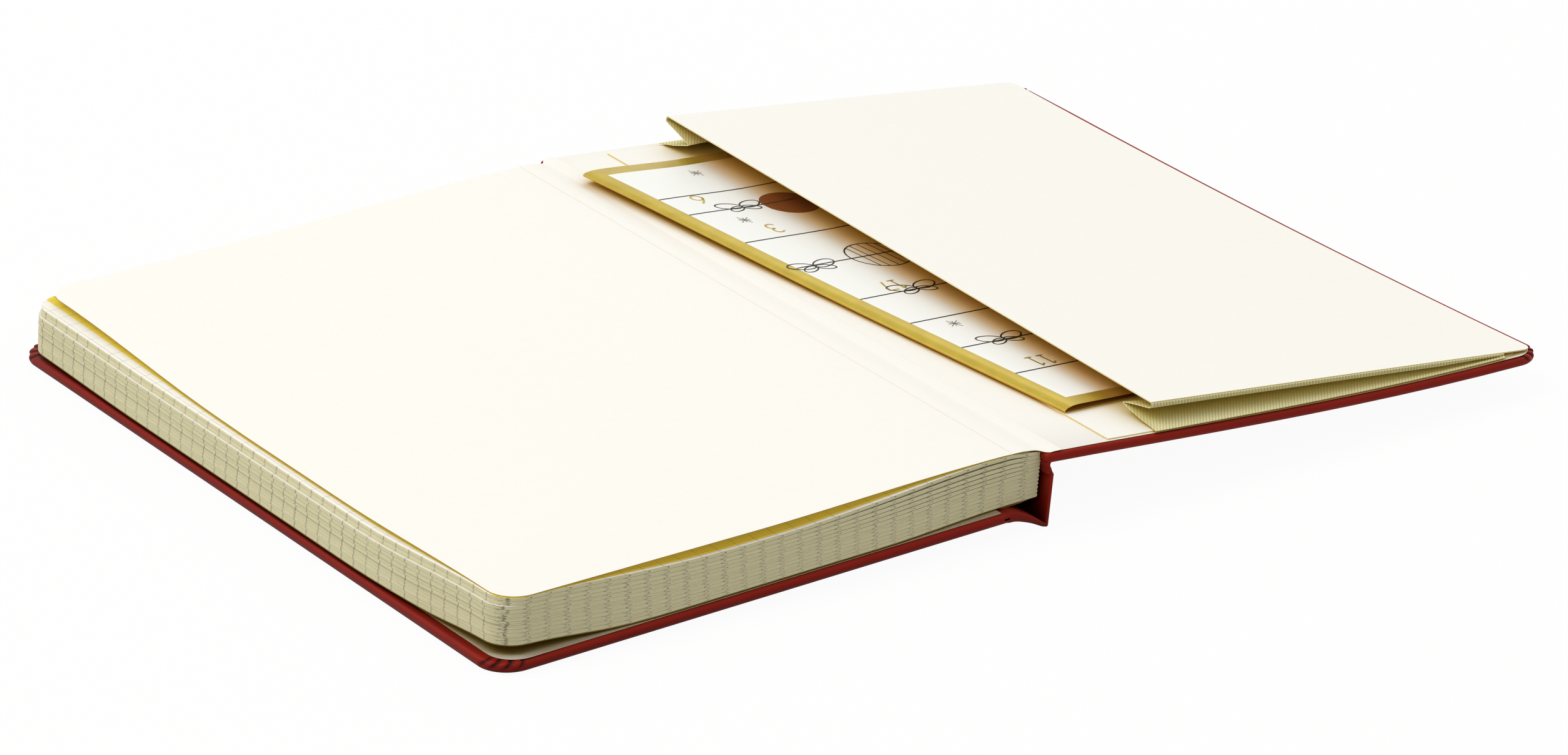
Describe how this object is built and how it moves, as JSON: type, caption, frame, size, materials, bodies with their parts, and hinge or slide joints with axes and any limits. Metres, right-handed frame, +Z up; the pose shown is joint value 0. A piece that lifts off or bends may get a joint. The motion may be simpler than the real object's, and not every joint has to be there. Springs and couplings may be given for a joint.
{
  "type": "pocket notebook",
  "caption": "Case-bound squared notebook lying open at its rear cover, with an expanding inner pocket that holds a folded leaflet; covers and pocket are hinged.",
  "frame": {"origin": "on the surface the notebook lies on, under the middle of the open notebook's outline, a millimetre from its spine fold", "axes": "+X from the leaves' fore-edge across the spine to the open rear cover's fore-edge, +Y from tail to head, +Z up from the surface"},
  "size_m": [0.2862, 0.21, 0.0212],
  "materials": {
    "red_leatherette": "satin",
    "joint_leatherette": "satin",
    "greyboard": "matte",
    "endpaper": "matte",
    "leaf_paper": "matte",
    "thread": "matte",
    "mull_gauze": "matte",
    "kraft_lining": "matte",
    "pocket_card": "matte",
    "gusset_cloth": "matte",
    "leaflet_paper": "gloss"
  },
  "bodies": {
    "text_block": {"section_01": "leaf_paper", "section_02": "leaf_paper", "section_03": "leaf_paper", "section_04": "leaf_paper", "section_05": "leaf_paper", "section_06": "leaf_paper", "section_07": "leaf_paper", "section_08": "leaf_paper", "section_09": "leaf_paper", "section_10": "leaf_paper", "section_11": "leaf_paper", "section_12": "leaf_paper", "sewing_thread": "thread", "spine_mull": "mull_gauze", "spine_lining": "kraft_lining", "spine_card": "greyboard", "spine_wrap": "red_leatherette", "rear_flyleaf": "endpaper"},
    "front_cover": {"front_board": "greyboard", "front_wrap": "red_leatherette", "front_pastedown": "endpaper", "front_joint_cloth": "joint_leatherette", "front_endpaper_hinge": "endpaper"},
    "front_flyleaf": {"front_flyleaf": "endpaper"},
    "rear_cover": {"rear_board": "greyboard", "rear_wrap": "red_leatherette", "rear_pastedown": "endpaper", "rear_joint_cloth": "joint_leatherette", "rear_endpaper_hinge": "endpaper", "pocket_back_sheet": "pocket_card", "pocket_fold_strip": "gusset_cloth", "tail_gusset": "gusset_cloth", "head_gusset": "gusset_cloth"},
    "pocket_panel": {"pocket_panel": "pocket_card"},
    "leaflet": {"leaflet": "leaflet_paper"}
  },
  "joints": [
    {"name": "front_cover_hinge", "type": "hinge", "parent": "text_block", "child": "front_cover", "pos_m": [0.00133, 0, 0.00522], "axis": [0, -1, 0], "range_deg": [0, 177], "deforming": ["front_joint_cloth", "front_endpaper_hinge"]},
    {"name": "front_flyleaf_hinge", "type": "hinge", "parent": "text_block", "child": "front_flyleaf", "pos_m": [-0.00097, 0, 0.0065], "axis": [0, -1, 0], "range_deg": [0, 1.8]},
    {"name": "rear_cover_hinge", "type": "hinge", "parent": "text_block", "child": "rear_cover", "pos_m": [0.00053, 0, 0.01942], "axis": [0, -1, 0], "range_deg": [0, 179], "deforming": ["rear_joint_cloth", "rear_endpaper_hinge"]},
    {"name": "pocket_panel_hinge", "type": "hinge", "parent": "rear_cover", "child": "pocket_panel", "pos_m": [0.14053, 0, 0.01049], "axis": [0, -1, 0], "range_deg": [0, 1.4], "deforming": ["tail_gusset", "head_gusset"]},
    {"name": "leaflet_slide", "type": "slide", "parent": "rear_cover", "child": "leaflet", "axis": [0.9982, 0, -0.0593], "range_m": [0, 0.015]}
  ],
  "couplings": [
    {"joint": "front_flyleaf_hinge", "follows": "front_cover_hinge", "ratio": 0.01},
    {"joint": "pocket_panel_hinge", "follows": "rear_cover_hinge", "ratio": 0.0078}
  ]
}
